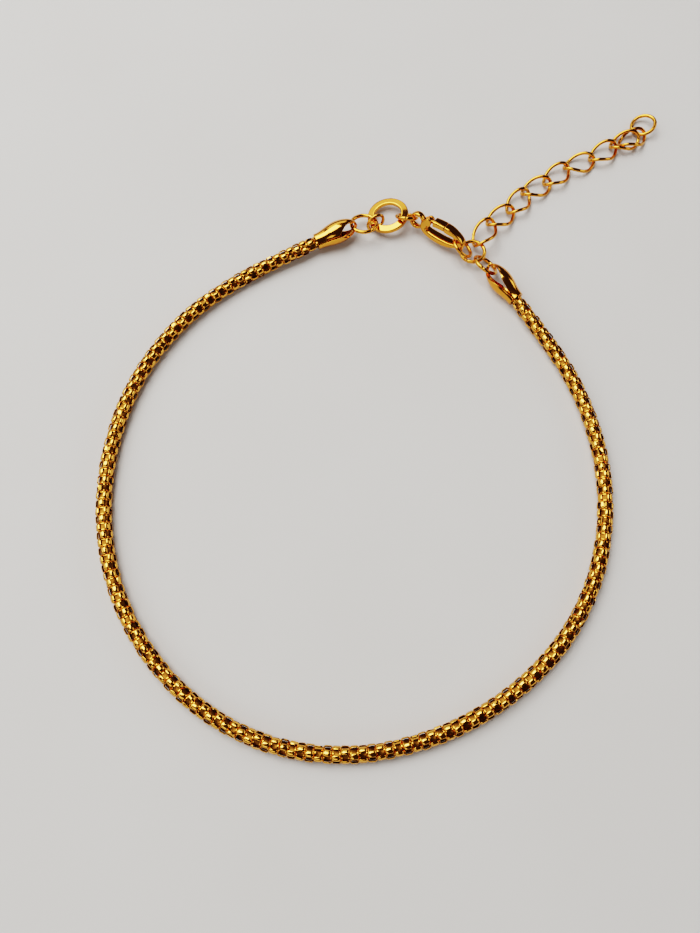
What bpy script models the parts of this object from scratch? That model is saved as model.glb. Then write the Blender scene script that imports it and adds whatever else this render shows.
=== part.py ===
"""Chain anklet lying on a flat surface: a round mesh chain closed by a lobster clasp, with an extension chain.

Metres, +Z up, X to the right and Y away as the anklet is seen from its clasp-far side.  The pieces are laid
out in the order in which they hang on one another: right end cap, cap ring, joining ring, hooked ring, clasp,
clasp ring, band ring, small ring, cap ring, left end cap.  Each hop from one piece to the next is worked out
from the sizes of both, so a piece that changes size moves all that hangs on it.  The finished model is moved
so that the middle of its box stands at the origin and its lowest point at height zero.
"""
import math
from collections import namedtuple

import bmesh
import bpy
import numpy as np
from mathutils import Matrix, Vector

# Main chain: a round tube of mesh links, squeezed a little where it enters the end caps
CHAIN_DIAMETER = 0.0023
CHAIN_TAPER_LENGTH = 0.0022
CHAIN_RISE_LENGTH = 0.012
CHAIN_STEP = 0.0046
CHAIN_INSERT = 0.0018
CHAIN_SIDES = 12
CHAIN_FACET_TILT = math.pi / CHAIN_SIDES

# Clearances between neighbouring pieces
RING_GAP = 0.00008
SEAT_GAP = 0.00007
PIN_GAP = 0.00004
LEVER_GAP = 0.00009

# End caps: a folded strip, round at the mouth, belled, and narrowed to a bridge at the tip
CAP_LENGTH = 0.0071
CAP_BELL_RADIUS = 0.00175
CAP_WALL = 0.0003
CAP_TIP_RADIUS = 0.00095

# Jump rings: outer diameter and wire
CAP_RING_RIGHT_OUTER = 0.0045
CAP_RING_LEFT_OUTER = 0.0046
CAP_RING_WIRE = 0.0006
JOINING_RING_OUTER = 0.0043
HOOKED_RING_OUTER = 0.0041
JOINING_RING_WIRE = 0.00056
CLASP_RING_OUTER = 0.0038
CLASP_RING_WIRE = 0.0006
END_RING_OUTER = 0.0043
END_RING_WIRE = 0.00056

# Small oval ring between the left cap ring and the band ring
SMALL_RING_LENGTH = 0.0033
SMALL_RING_WIDTH = 0.0027
SMALL_RING_WIRE = 0.0005

# Flat band ring
BAND_RING_OUTER = 0.0066
BAND_RING_FACE = 0.00115
BAND_RING_HEIGHT = 0.0008

# Extension chain: open curb links, each turned along its length
EXTENSION_LINKS = 9
EXTENSION_LINK_LENGTH = 0.0059
EXTENSION_LINK_WIDTH = 0.0038
EXTENSION_LINK_WIRE = 0.00052
EXTENSION_LINK_TWIST = math.radians(45)

# Lobster clasp
CLASP_LENGTH = 0.0100
CLASP_HEIGHT = 0.0034
CLASP_THICKNESS = 0.0018
CLASP_WINDOW_WIDTH = 0.00130
NOSE_LENGTH = 0.0012
NOSE_THICKNESS = 0.0013
NOSE_POINT = 0.5
EYE_BLUNTNESS = 0.7
EYE_HOLE_DIAMETER = 0.0016
EYE_WALL = 0.00055
EYE_THICKNESS = 0.0011
EYE_WEB = 0.0006
LEVER_RECESS = 0.0001
LEVER_TONGUE = 0.0006
PIN_DIAMETER = 0.0005
EAR_RADIUS = 0.00062
PIVOT_ANGLE = math.radians(146)
SEAM_ANGLE = math.radians(86)
CLAW_BASE_ANGLE = math.radians(141)
CLAW_SQUARENESS = 0.45

# Where the anklet's right end cap has its mouth, and how both caps lie
ANCHOR = (0.0257, 0.0271)
CapPose = namedtuple("CapPose", "heading pitch roll")
CAP_RIGHT = CapPose(125.5, 5, -38)

# Route of the main chain between the caps, chosen by hand along its middle line
CHAIN_ROUTE = (
    (-0.0177, 0.0307), (-0.0258, 0.0238), (-0.0317, 0.0149), (-0.0348, 0.0047), (-0.0352, -0.0059),
    (-0.0328, -0.0164), (-0.0276, -0.0256), (-0.0199, -0.0330), (-0.0103, -0.0376), (0.0003, -0.0388),
    (0.0108, -0.0367), (0.0203, -0.0320), (0.0283, -0.0249), (0.0338, -0.0157), (0.0362, -0.0054),
    (0.0357, 0.0052), (0.0325, 0.0154),
)
CHAIN_START = (-0.0062, 0.0371)

# Sections of the end caps from mouth to tip: share of the length, share of the bell's radius, and how far the
# strip wraps in degrees, in the left cap and in the right one, which stands further open
CAP_SECTIONS = (
    (0.00, 0.72, 86, 86), (0.10, 0.73, 86, 85), (0.22, 0.80, 86, 82), (0.36, 0.93, 86, 76),
    (0.50, 1.00, 84, 70), (0.62, 0.98, 68, 61), (0.74, 0.88, 49, 49), (0.86, 0.69, 36, 36),
    (0.955, 0.40, 29, 29), (1.00, 0.00, 28, 28),
)
WRAP_COLUMNS = {"left": 2, "right": 3}

# How each ring hangs on the piece before it.  Hop is the compass heading to it in degrees from +X, slack is
# how far it has slid back from taut, and lift how high it lies, both in wire diameters.
Hang = namedtuple("Hang", "piece on hop slack heading pitch roll lift")
HANGS = (
    Hang("cap_ring_right", "end_cap_right", 127, 1.3, 127, -2, 40, 0.0),
    Hang("joining_ring", "cap_ring_right", 128, 0.1, 128, -1, -2, 2.1),
    Hang("hooked_ring", "joining_ring", 163, 2.2, 163, 34, 24, 0.9),
    Hang("clasp", "hooked_ring", 143, 0.5, -34, 2, 70, 1.2),
    Hang("clasp_ring", "clasp", 155, 0.2, 155, -19, 40, 1.1),
    Hang("band_ring", "clasp_ring", 167, 0.4, 167, -12, 1, 0.6),
    Hang("small_ring", "band_ring", 212, 1.7, 212, -28, -68, 0.0),
    Hang("cap_ring_left", "small_ring", 193, 0.0, 193, 3, 15, 2.1),
    Hang("end_cap_left", "cap_ring_left", 194, 0.6, 25, 6, 60, 0.7),
)

# The extension chain's hops: heading in degrees, slack as a share of the link's length, lift in wire diameters
LinkHop = namedtuple("LinkHop", "hop slack pitch roll lift")
EXTENSION_HOPS = (
    LinkHop(59, 0.000, 2, -10, 1.1),
    LinkHop(37, 0.026, -4, 1, 0.3),
    LinkHop(53, 0.053, -1, 1, 0.0),
    LinkHop(28, 0.088, 0, 0, 0.0),
    LinkHop(42, 0.079, 1, -1, 0.0),
    LinkHop(20, 0.009, 0, 0, 0.0),
    LinkHop(35, 0.009, 2, -3, 0.0),
    LinkHop(26, 0.035, 0, 0, 0.0),
    LinkHop(34, 0.573, -4, -8, 0.0),
)
END_RING_HOP = LinkHop(85, 0.0, 2, -20, 0.1)

# Facets
RING_STATIONS = 16
WIRE_SIDES = 6
BAND_STATIONS = 32
CAP_WRAP_STEPS = 6
CLAW_SIDES = 12
EYE_STATIONS = 20

GOLD = (0.80, 0.50, 0.14, 1.0)

# A built shape: its mesh data, and the rings by which the one before and the one after hang on it.
# A hold is a point with the half-length to the middle of its wire and the wire's diameter.
# A round ring can be pulled from any side; a long link hangs by its ends, along its own X.
Hold = namedtuple("Hold", "point half wire round")
Shape = namedtuple("Shape", "verts faces entry exit")
Placed = namedtuple("Placed", "shape centre turn")


def gold_material(name, roughness):
    """Polished gold-coloured metal, one material for each piece."""
    material = bpy.data.materials.new(name)
    material.use_nodes = True
    shader = material.node_tree.nodes["Principled BSDF"]
    shader.inputs["Base Color"].default_value = GOLD
    shader.inputs["Metallic"].default_value = 1.0
    shader.inputs["Roughness"].default_value = roughness
    return material


def unit(vectors):
    """Each row scaled to length one."""
    return vectors / np.linalg.norm(vectors, axis=-1, keepdims=True)


def turned(heading, pitch, roll):
    """Matrix that rolls about X, lifts X by the pitch, then turns it to the heading, all in degrees."""
    spin = Matrix.Rotation(math.radians(heading), 3, "Z")
    nod = Matrix.Rotation(-math.radians(pitch), 3, "Y")
    lean = Matrix.Rotation(math.radians(roll), 3, "X")
    return spin @ nod @ lean


def grid_faces(rows, columns, wrap_rows, wrap_columns):
    """Quads between neighbouring rows and columns of a grid of points."""
    row = np.arange(rows if wrap_rows else rows - 1)
    column = np.arange(columns if wrap_columns else columns - 1)
    r, c = np.meshgrid(row, column, indexing="ij")
    r2, c2 = (r + 1) % rows, (c + 1) % columns
    corners = (r * columns + c, r * columns + c2, r2 * columns + c2, r2 * columns + c)
    return np.stack(corners, axis=-1).reshape(-1, 4).tolist()


def swept(points, outward, upward, section):
    """Each point of the path carries the section: first column along outward, second along upward."""
    across = section[..., 0:1] * outward[:, None, :]
    along = section[..., 1:2] * upward[:, None, :]
    return (points[:, None, :] + across + along).reshape(-1, 3)


def round_section(sides, half_out, half_up, squareness=1.0):
    """Points round an ellipse, or round a softened box where squareness is below one."""
    angle = (np.arange(sides) + 0.5) * 2 * math.pi / sides
    cosine, sine = np.cos(angle), np.sin(angle)
    out = np.sign(cosine) * np.abs(cosine) ** squareness * half_out
    up = np.sign(sine) * np.abs(sine) ** squareness * half_up
    return np.stack([out, up], axis=-1)


def loop_shape(length, width, wire, twist=0.0, stations=RING_STATIONS):
    """A closed link: an ellipse in the XY plane, rolled about X from minus to plus the twist end to end."""
    half_length, half_width = (length - wire) / 2, (width - wire) / 2
    turn = np.arange(stations) * 2 * math.pi / stations
    x, y = half_length * np.cos(turn), half_width * np.sin(turn)
    roll = twist * x / half_length
    points = np.stack([x, y * np.cos(roll), y * np.sin(roll)], axis=-1)
    tangent = unit(np.roll(points, -1, axis=0) - np.roll(points, 1, axis=0))
    upward = np.stack([np.zeros(stations), -np.sin(roll), np.cos(roll)], axis=-1)
    outward = unit(np.cross(tangent, upward))
    upward = np.cross(outward, tangent)
    verts = swept(points, outward, upward, round_section(WIRE_SIDES, wire / 2, wire / 2))
    hold = Hold(Vector(), half_length, wire, length == width)
    return Shape(verts, grid_faces(stations, WIRE_SIDES, True, True), hold, hold)


def band_shape(outer, face, height, stations=BAND_STATIONS):
    """A flat ring cut from band: a wide flat face above and below, with broken edges."""
    radius = (outer - face) / 2
    turn = np.arange(stations) * 2 * math.pi / stations
    outward = np.stack([np.cos(turn), np.sin(turn), np.zeros(stations)], axis=-1)
    upward = np.tile([0.0, 0.0, 1.0], (stations, 1))
    half_face, half_height, edge = face / 2, height / 2, 0.28 * height
    section = np.array([
        (half_face, -half_height + edge), (half_face, half_height - edge),
        (half_face - edge, half_height), (-half_face + edge, half_height),
        (-half_face, half_height - edge), (-half_face, -half_height + edge),
        (-half_face + edge, -half_height), (half_face - edge, -half_height),
    ])
    verts = swept(radius * outward, outward, upward, section)
    hold = Hold(Vector(), radius, face, True)
    return Shape(verts, grid_faces(stations, len(section), True, True), hold, hold)


def smooth_through(points, steps):
    """Points on a smooth curve that passes through the given ones, the same number of steps in each span."""
    padded = np.vstack([2 * points[0] - points[1], points, 2 * points[-1] - points[-2]])
    before, start, end, after = padded[:-3], padded[1:-2], padded[2:-1], padded[3:]
    t = np.linspace(0, 1, steps, endpoint=False)[:, None, None]
    curve = 0.5 * (2 * start + (end - before) * t + (2 * before - 5 * start + 4 * end - after) * t**2
                   + (3 * start - before - 3 * end + after) * t**3)
    return np.vstack([curve.transpose(1, 0, 2).reshape(-1, points.shape[1]), points[-1]])


def cap_shape(wrap_column):
    """A strip that starts as half of the mouth, runs to the tip, bends over it and comes back as the other half.

    X runs from the mouth to the tip, the two arms lie towards plus and minus Y, and Z looks through the window.
    """
    table = np.array(CAP_SECTIONS)
    wraps = np.radians(table[:, wrap_column])
    arm = np.stack([table[:, 0] * CAP_LENGTH, table[:, 1] * CAP_BELL_RADIUS, wraps], axis=-1)
    mirrored = arm[:-1][::-1] * (1, -1, 1)
    path = smooth_through(np.vstack([arm, mirrored]), 2)
    centre = path[:, :2]
    along = unit(np.gradient(centre, axis=0))
    normal = np.stack([-along[:, 1], along[:, 0]], axis=-1)
    half_height = np.abs(centre[:, 1])
    radius = np.maximum(half_height, CAP_TIP_RADIUS)
    wrap = np.linspace(-1, 1, CAP_WRAP_STEPS + 1)[None, :] * path[:, 2:3]
    shells = []
    for inset in (0.0, CAP_WALL):
        curve = (radius - inset)[:, None]
        middle = centre - normal * inset
        drop = curve * (1 - np.cos(wrap))
        flat = middle[:, None, :] - normal[:, None, :] * drop[..., None]
        shells.append(np.dstack([flat, curve * np.sin(wrap)]).reshape(-1, 3))
    rows, columns = len(path), CAP_WRAP_STEPS + 1
    ring = np.arange(rows * columns).reshape(rows, columns)
    border = np.concatenate([ring[0, :-1], ring[:-1, -1], ring[-1, :0:-1], ring[:0:-1, 0]])
    inner = rows * columns
    faces = grid_faces(rows, columns, False, False)
    faces += [[index + inner for index in face[::-1]] for face in grid_faces(rows, columns, False, False)]
    closing = np.stack([border, np.roll(border, -1), np.roll(border, -1) + inner, border + inner], axis=-1)
    faces += closing.tolist()
    bridge_half = CAP_TIP_RADIUS - CAP_WALL / 2
    bridge = Hold(Vector((CAP_LENGTH - CAP_TIP_RADIUS, 0, 0)), bridge_half, CAP_WALL, True)
    return Shape(np.vstack(shells), faces, bridge, bridge)


def claw_ends():
    """Where along the clasp its outside and its window begin and end."""
    eye_outer = EYE_HOLE_DIAMETER / 2 + EYE_WALL
    tip = CLASP_LENGTH - eye_outer
    return (EYE_HOLE_DIAMETER / 2, tip), (eye_outer + EYE_WEB, tip - NOSE_LENGTH)


def claw_outline(angle):
    """Points of the claw's outside, an oval blunt at the eye and pointed at the nose, and of its slot."""
    outside, window = claw_ends()
    cosine, sine = np.cos(angle), np.sin(angle)
    size = np.abs(sine)
    pointed = size * (NOSE_POINT + (1 - NOSE_POINT) * size)
    bulge = np.sign(sine) * np.where(cosine > 0, pointed, size**EYE_BLUNTNESS) * CLASP_HEIGHT / 2
    slot = np.sign(sine) * np.sqrt(np.abs(sine)) * CLASP_WINDOW_WIDTH / 2
    lines = []
    for (left, right), rise in ((outside, bulge), (window, slot)):
        along = (left + right) / 2 + (right - left) / 2 * cosine
        lines.append(np.stack([along, rise, 0 * angle], axis=-1))
    return lines


def claw_point(angle):
    """A point of the claw's middle line."""
    outside, window = claw_outline(angle)
    return (outside + window) / 2


def claw_frames(angle):
    """Points of the claw's middle line, their outward directions, and how high the claw is there."""
    outside, window = claw_outline(angle)
    return (outside + window) / 2, unit(outside - window), np.linalg.norm(outside - window, axis=-1)


def seam_facing(outward, blend):
    """Outward directions eased towards the seam's plane, which faces the lever's pivot."""
    seam_middle = claw_point(np.array([SEAM_ANGLE]))[0]
    pivot = claw_point(np.array([PIVOT_ANGLE]))[0]
    arm = seam_middle - pivot
    facing = unit(np.array([-arm[1], arm[0], 0.0]))
    return unit(outward * (1 - blend[:, None]) + facing * blend[:, None])


def claw_thickness(points):
    """Thickness at each point: full at the claw's middle, easing to the nose and to the eye."""
    left, right = claw_ends()[0]
    middle = (left + right) / 2
    share = np.clip(np.abs(points[:, 0] - middle) / (right - middle), 0, 1)
    end = np.where(points[:, 0] > middle, NOSE_THICKNESS, EYE_THICKNESS * 1.15)
    return CLASP_THICKNESS + (end - CLASP_THICKNESS) * share**2.2


def open_sweep(points, outward, height, thickness, sides, squareness):
    """A closed bar along an open path, its ends flat."""
    upward = np.tile([0.0, 0.0, 1.0], (len(points), 1))
    base = round_section(sides, 0.5, 0.5, squareness)
    section = base[None, :, :] * np.stack([height, thickness], axis=-1)[:, None, :]
    verts = swept(points, outward, upward, section)
    faces = grid_faces(len(points), sides, False, True)
    faces.append(list(range(sides)))
    faces.append(list(range((len(points) - 1) * sides, len(points) * sides))[::-1])
    return verts, faces


def seam_gap():
    """Half of the gap at the seam, as an angle of the claw's outline."""
    left, right = claw_ends()[0]
    return LEVER_GAP / (right - left)


def claw_sweep():
    """The claw from the lever's ears past the eye, along the spine and over the nose to the seam."""
    angle = np.linspace(CLAW_BASE_ANGLE, 2 * math.pi + SEAM_ANGLE - seam_gap(), 36)
    points, outward, height = claw_frames(angle)
    blend = np.clip((angle - angle[-1]) / math.radians(25) + 1, 0, 1)
    outward = seam_facing(outward, blend)
    return open_sweep(points, outward, height, claw_thickness(points), CLAW_SIDES, CLAW_SQUARENESS)


def lever_sweep():
    """The lever's wide part, from clear of the ears to the seam."""
    near = claw_point(PIVOT_ANGLE + np.array([-0.01, 0.01]))
    speed = np.linalg.norm(near[1] - near[0]) / 0.02
    start = PIVOT_ANGLE - (EAR_RADIUS + 2 * LEVER_GAP) / speed
    angle = np.linspace(start, SEAM_ANGLE + seam_gap(), 9)
    points, outward, height = claw_frames(angle)
    blend = np.clip((angle[-1] - angle) / math.radians(-25) + 1, 0, 1)
    outward = seam_facing(outward, blend)
    points = points + outward * LEVER_RECESS / 2
    return open_sweep(points, outward, height - LEVER_RECESS, claw_thickness(points), CLAW_SIDES, CLAW_SQUARENESS)


def disc_data(centre, radius, thickness, sides):
    """A round disc with its axis along Z."""
    turn = (np.arange(sides) + 0.5) * 2 * math.pi / sides
    rim = np.stack([np.cos(turn), np.sin(turn)], axis=-1) * radius + centre[:2]
    low = np.hstack([rim, np.full((sides, 1), -thickness / 2)])
    high = np.hstack([rim, np.full((sides, 1), thickness / 2)])
    faces = grid_faces(2, sides, False, True)
    faces += [list(range(sides)), list(range(sides, 2 * sides))[::-1]]
    return np.vstack([low, high]), faces


def eye_data():
    """The eye: a ring round the clasp's origin, with soft edges."""
    turn = np.arange(EYE_STATIONS) * 2 * math.pi / EYE_STATIONS
    outward = np.stack([np.cos(turn), np.sin(turn), np.zeros(EYE_STATIONS)], axis=-1)
    upward = np.tile([0.0, 0.0, 1.0], (EYE_STATIONS, 1))
    radius = (EYE_HOLE_DIAMETER + EYE_WALL) / 2
    section = round_section(8, EYE_WALL / 2, EYE_THICKNESS / 2, 0.7)
    return swept(radius * outward, outward, upward, section), grid_faces(EYE_STATIONS, 8, True, True)


def box_data(low, high):
    """A box between two corners."""
    corner = np.array([[x, y, z] for x in (0, 1) for y in (0, 1) for z in (0, 1)], dtype=float)
    verts = np.array(low) + corner * (np.array(high) - np.array(low))
    faces = [[0, 1, 3, 2], [4, 6, 7, 5], [0, 4, 5, 1], [2, 3, 7, 6], [0, 2, 6, 4], [1, 5, 7, 3]]
    return verts, faces


def mesh_object(name, verts, faces):
    """A mesh object from points and faces, with all faces pointing out and its round sides smooth."""
    mesh = bpy.data.meshes.new(name)
    mesh.from_pydata([tuple(point) for point in verts], [], faces)
    shaped = bmesh.new()
    shaped.from_mesh(mesh)
    bmesh.ops.recalc_face_normals(shaped, faces=shaped.faces)
    shaped.to_mesh(mesh)
    shaped.free()
    mesh.shade_smooth()
    mesh.set_sharp_from_angle(angle=math.radians(50))
    piece = bpy.data.objects.new(name, mesh)
    bpy.context.collection.objects.link(piece)
    return piece


def combine(piece, tool_data, operation, number):
    """Add a Boolean that joins or cuts the piece with a hidden helper shape."""
    tool = mesh_object(f"{piece.name}_tool_{number}", *tool_data)
    tool.hide_render = True
    tool.display_type = "WIRE"
    tool.parent = piece
    step = piece.modifiers.new(f"{operation.lower()} {number}", "BOOLEAN")
    step.operation = operation
    step.solver = "EXACT"
    step.object = tool


def clasp_shape():
    """Only the clasp's outline and its two holds; its pieces are built in place later."""
    claw_verts, _ = claw_sweep()
    eye_verts, _ = eye_data()
    window_end = claw_ends()[1][1]
    hook = Hold(Vector((window_end - NOSE_LENGTH, 0, 0)), 1.5 * NOSE_LENGTH, NOSE_LENGTH, True)
    eye = Hold(Vector(), (EYE_HOLE_DIAMETER + EYE_WALL) / 2, EYE_WALL, True)
    return Shape(np.vstack([claw_verts, eye_verts]), [], hook, eye)


def resting_height(shape, turn, lift):
    """Height of the shape's origin when its lowest point lies at the lift."""
    heights = shape.verts @ np.array(turn)[2]
    return lift - heights.min()


def hang_on(held_by, shape, hop, slack, turn, lift):
    """Place a shape one hop from the piece that holds it.

    The hop runs from hold to hold, or from a long link's end.  Taut, its length is the sum of the two
    half-lengths less half of both wires and the clearance; slack shortens it.
    """
    out, into = held_by.shape.exit, shape.entry
    start = held_by.centre + held_by.turn @ out.point
    height = resting_height(shape, turn, lift)
    offset = turn @ into.point
    reach = into.half - (into.wire + RING_GAP) / 2 - slack
    pull = out.half - (out.wire + RING_GAP) / 2
    if out.round:
        reach += pull
    else:
        start = start + held_by.turn @ Vector((pull, 0, 0))
    rise = height + offset.z - start.z
    run = math.copysign(math.sqrt(max(reach**2 - rise**2, 0.0)), reach)
    angle = math.radians(hop)
    end = start + Vector((run * math.cos(angle), run * math.sin(angle), rise))
    return Placed(shape, end - offset, turn)


def lay_out():
    """Every piece with its place, worked out one from another."""
    cap = cap_shape(WRAP_COLUMNS["right"])
    turn = turned(*CAP_RIGHT)
    centre = Vector((*ANCHOR, resting_height(cap, turn, 0.0)))
    places = {"end_cap_right": Placed(cap, centre, turn)}
    shapes = {
        "cap_ring_right": loop_shape(CAP_RING_RIGHT_OUTER, CAP_RING_RIGHT_OUTER, CAP_RING_WIRE),
        "joining_ring": loop_shape(JOINING_RING_OUTER, JOINING_RING_OUTER, JOINING_RING_WIRE),
        "hooked_ring": loop_shape(HOOKED_RING_OUTER, HOOKED_RING_OUTER, JOINING_RING_WIRE),
        "clasp": clasp_shape(),
        "clasp_ring": loop_shape(CLASP_RING_OUTER, CLASP_RING_OUTER, CLASP_RING_WIRE),
        "band_ring": band_shape(BAND_RING_OUTER, BAND_RING_FACE, BAND_RING_HEIGHT),
        "small_ring": loop_shape(SMALL_RING_LENGTH, SMALL_RING_WIDTH, SMALL_RING_WIRE),
        "cap_ring_left": loop_shape(CAP_RING_LEFT_OUTER, CAP_RING_LEFT_OUTER, CAP_RING_WIRE),
        "end_cap_left": cap_shape(WRAP_COLUMNS["left"]),
    }
    for hang in HANGS:
        shape = shapes[hang.piece]
        wire = min(shape.entry.wire, CAP_RING_WIRE)
        turn = turned(hang.heading, hang.pitch, hang.roll)
        slack, lift = hang.slack * wire, hang.lift * wire
        places[hang.piece] = hang_on(places[hang.on], shape, hang.hop, slack, turn, lift)
    link = loop_shape(EXTENSION_LINK_LENGTH, EXTENSION_LINK_WIDTH, EXTENSION_LINK_WIRE, EXTENSION_LINK_TWIST)
    held_by = places["joining_ring"]
    for number in range(1, EXTENSION_LINKS + 1):
        step = EXTENSION_HOPS[min(number, len(EXTENSION_HOPS)) - 1]
        turn = turned(step.hop, step.pitch, step.roll)
        slack, lift = step.slack * EXTENSION_LINK_LENGTH, step.lift * EXTENSION_LINK_WIRE
        held_by = hang_on(held_by, link, step.hop, slack, turn, lift)
        places[f"extension_link_{number}"] = held_by
    ring = loop_shape(END_RING_OUTER, END_RING_OUTER, END_RING_WIRE)
    turn = turned(END_RING_HOP.hop, END_RING_HOP.pitch, END_RING_HOP.roll)
    slack, lift = END_RING_HOP.slack * END_RING_OUTER, END_RING_HOP.lift * END_RING_WIRE
    places["end_ring"] = hang_on(held_by, ring, END_RING_HOP.hop, slack, turn, lift)
    return places


def chain_curve(places):
    """Middle line of the main chain and its radius, from inside the left cap to inside the right cap.

    The chosen points give way towards the left cap by however far that cap has moved from the chain's usual
    start, less and less along the chain.  The ends rise to the heights of the caps' mouths.
    """
    mouths, inward = [], []
    for name in ("end_cap_left", "end_cap_right"):
        place = places[name]
        mouths.append(np.array(place.centre))
        inward.append(np.array(place.turn @ Vector((1, 0, 0))))
    route = np.array(CHAIN_ROUTE)
    share = np.arange(1, len(route) + 1) / (len(route) + 1)
    moved = mouths[0][:2] - np.array(CHAIN_START)
    route = route + moved * (1 - share[:, None]) ** 3
    flat = np.vstack([mouths[0][:2], route, mouths[1][:2]])
    line = smooth_through(flat, 24)
    length = np.concatenate([[0], np.cumsum(np.linalg.norm(np.diff(line, axis=0), axis=1))])
    count = round(length[-1] / CHAIN_STEP)
    at = np.linspace(0, length[-1], count + 1)
    at = np.sort(np.concatenate([at, [CHAIN_TAPER_LENGTH, length[-1] - CHAIN_TAPER_LENGTH]]))
    x, y = np.interp(at, length, line[:, 0]), np.interp(at, length, line[:, 1])
    low = CHAIN_DIAMETER / 2 * math.cos(CHAIN_FACET_TILT)
    rise = np.full(len(at), low)
    for mouth, away in ((mouths[0], at), (mouths[1], length[-1] - at)):
        ease = np.clip(1 - away / CHAIN_RISE_LENGTH, 0, 1)
        rise += (mouth[2] - low) * ease**2 * (3 - 2 * ease)
    squeezed = CAP_BELL_RADIUS * CAP_SECTIONS[0][1] - CAP_WALL - SEAT_GAP
    radius = np.full(len(at), CHAIN_DIAMETER / 2)
    radius[[0, -1]] = min(squeezed, CHAIN_DIAMETER / 2)
    points = np.stack([x, y, rise], axis=-1)
    first = mouths[0] + inward[0] * CHAIN_INSERT
    last = mouths[1] + inward[1] * CHAIN_INSERT
    radius = np.concatenate([radius[:1], radius, radius[-1:]])
    return np.vstack([first, points, last]), radius


def build_chain(places):
    """The main chain as a tube along its middle line."""
    points, radius = chain_curve(places)
    curve = bpy.data.curves.new("main_chain", "CURVE")
    curve.dimensions = "3D"
    curve.twist_mode = "Z_UP"
    curve.bevel_depth = CHAIN_DIAMETER / 2
    curve.bevel_resolution = CHAIN_SIDES // 2 - 2
    curve.use_fill_caps = True
    spline = curve.splines.new("POLY")
    spline.points.add(len(points) - 1)
    for knot, point, size in zip(spline.points, points, radius):
        knot.co = (*point, 1.0)
        knot.radius = size / (CHAIN_DIAMETER / 2)
        knot.tilt = CHAIN_FACET_TILT
    chain = bpy.data.objects.new("main_chain", curve)
    bpy.context.collection.objects.link(chain)
    return chain


def build_clasp(place):
    """The clasp's body with its eye and slotted ears, its lever, and the pin through both."""
    body = mesh_object("clasp_body", *claw_sweep())
    pivot = claw_point(np.array([PIVOT_ANGLE]))[0]
    ear_thickness = claw_thickness(pivot[None, :])[0]
    combine(body, eye_data(), "UNION", 1)
    combine(body, disc_data(pivot, EAR_RADIUS, ear_thickness, 16), "UNION", 2)
    slot_low = (pivot[0] - EAR_RADIUS - LEVER_GAP, pivot[1] - EAR_RADIUS - LEVER_GAP,
                -LEVER_TONGUE / 2 - LEVER_GAP)
    slot_high = (pivot[0] + 2 * EAR_RADIUS, pivot[1] + 2 * EAR_RADIUS, LEVER_TONGUE / 2 + LEVER_GAP)
    combine(body, box_data(slot_low, slot_high), "DIFFERENCE", 3)
    hole = PIN_DIAMETER / 2 + PIN_GAP
    combine(body, disc_data(pivot, hole, 2 * ear_thickness, 12), "DIFFERENCE", 4)
    lever_verts, lever_faces = lever_sweep()
    lever = mesh_object("clasp_lever", lever_verts - pivot, lever_faces)
    tongue = EAR_RADIUS - LEVER_GAP
    arm_end = lever_verts[:CLAW_SIDES].mean(axis=0) - pivot
    reach = np.linalg.norm(arm_end) + tongue / 2
    bar_low = (0.0, -tongue / 2, -LEVER_TONGUE / 2)
    bar_high = (reach, tongue / 2, LEVER_TONGUE / 2)
    bar_verts, bar_faces = box_data(bar_low, bar_high)
    direction = arm_end / np.linalg.norm(arm_end)
    across = np.array([-direction[1], direction[0], 0.0])
    upright = np.array([0.0, 0.0, 1.0])
    bar_verts = bar_verts @ np.stack([direction, across, upright])
    combine(lever, (bar_verts, bar_faces), "UNION", 1)
    combine(lever, disc_data(np.zeros(3), tongue, LEVER_TONGUE, 16), "UNION", 2)
    combine(lever, disc_data(np.zeros(3), hole, 2 * LEVER_TONGUE, 12), "DIFFERENCE", 3)
    pin = mesh_object("clasp_pin", *disc_data(np.zeros(3), PIN_DIAMETER / 2, ear_thickness, 12))
    for piece, offset in ((body, np.zeros(3)), (lever, pivot), (pin, pivot)):
        piece.location = place.centre + place.turn @ Vector(offset)
        piece.rotation_euler = place.turn.to_euler()
    return [body, lever, pin]


def centre_on_floor(pieces, frame):
    """Move the frame so that the middle of the whole box is at the origin and its lowest point at zero."""
    bpy.context.view_layer.update()
    depsgraph = bpy.context.evaluated_depsgraph_get()
    points = []
    for piece in pieces:
        ready = piece.evaluated_get(depsgraph)
        mesh = ready.to_mesh()
        points += [ready.matrix_world @ vertex.co for vertex in mesh.vertices]
        ready.to_mesh_clear()
    cloud = np.array(points)
    low, high = cloud.min(axis=0), cloud.max(axis=0)
    middle = (low + high) / 2
    frame.location = (-middle[0], -middle[1], -low[2])


def main():
    for item in list(bpy.data.objects):
        bpy.data.objects.remove(item)
    places = lay_out()
    pieces = [build_chain(places)]
    pieces += build_clasp(places.pop("clasp"))
    for name, place in places.items():
        piece = mesh_object(name, place.shape.verts, place.shape.faces)
        piece.location = place.centre
        piece.rotation_euler = place.turn.to_euler()
        pieces.append(piece)
    frame = bpy.data.objects.new("anklet", None)
    bpy.context.collection.objects.link(frame)
    for piece in pieces:
        piece.parent = frame
        piece.data.materials.append(gold_material(piece.name, 0.18))
    centre_on_floor(pieces, frame)


main()
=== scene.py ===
"""Looks of the chain anklet: woven mesh chain, folded end caps, bent-wire rings, cast lobster clasp.

Every piece is a surface worked out in numpy from the sizes below, in millimetres.  It stands exactly
where its CAD node lies: the node's own box gives the place, and LYING gives how the piece is turned.
"""

import math

import bmesh
import bpy
import numpy as np
from mathutils import Matrix, Vector

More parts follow.
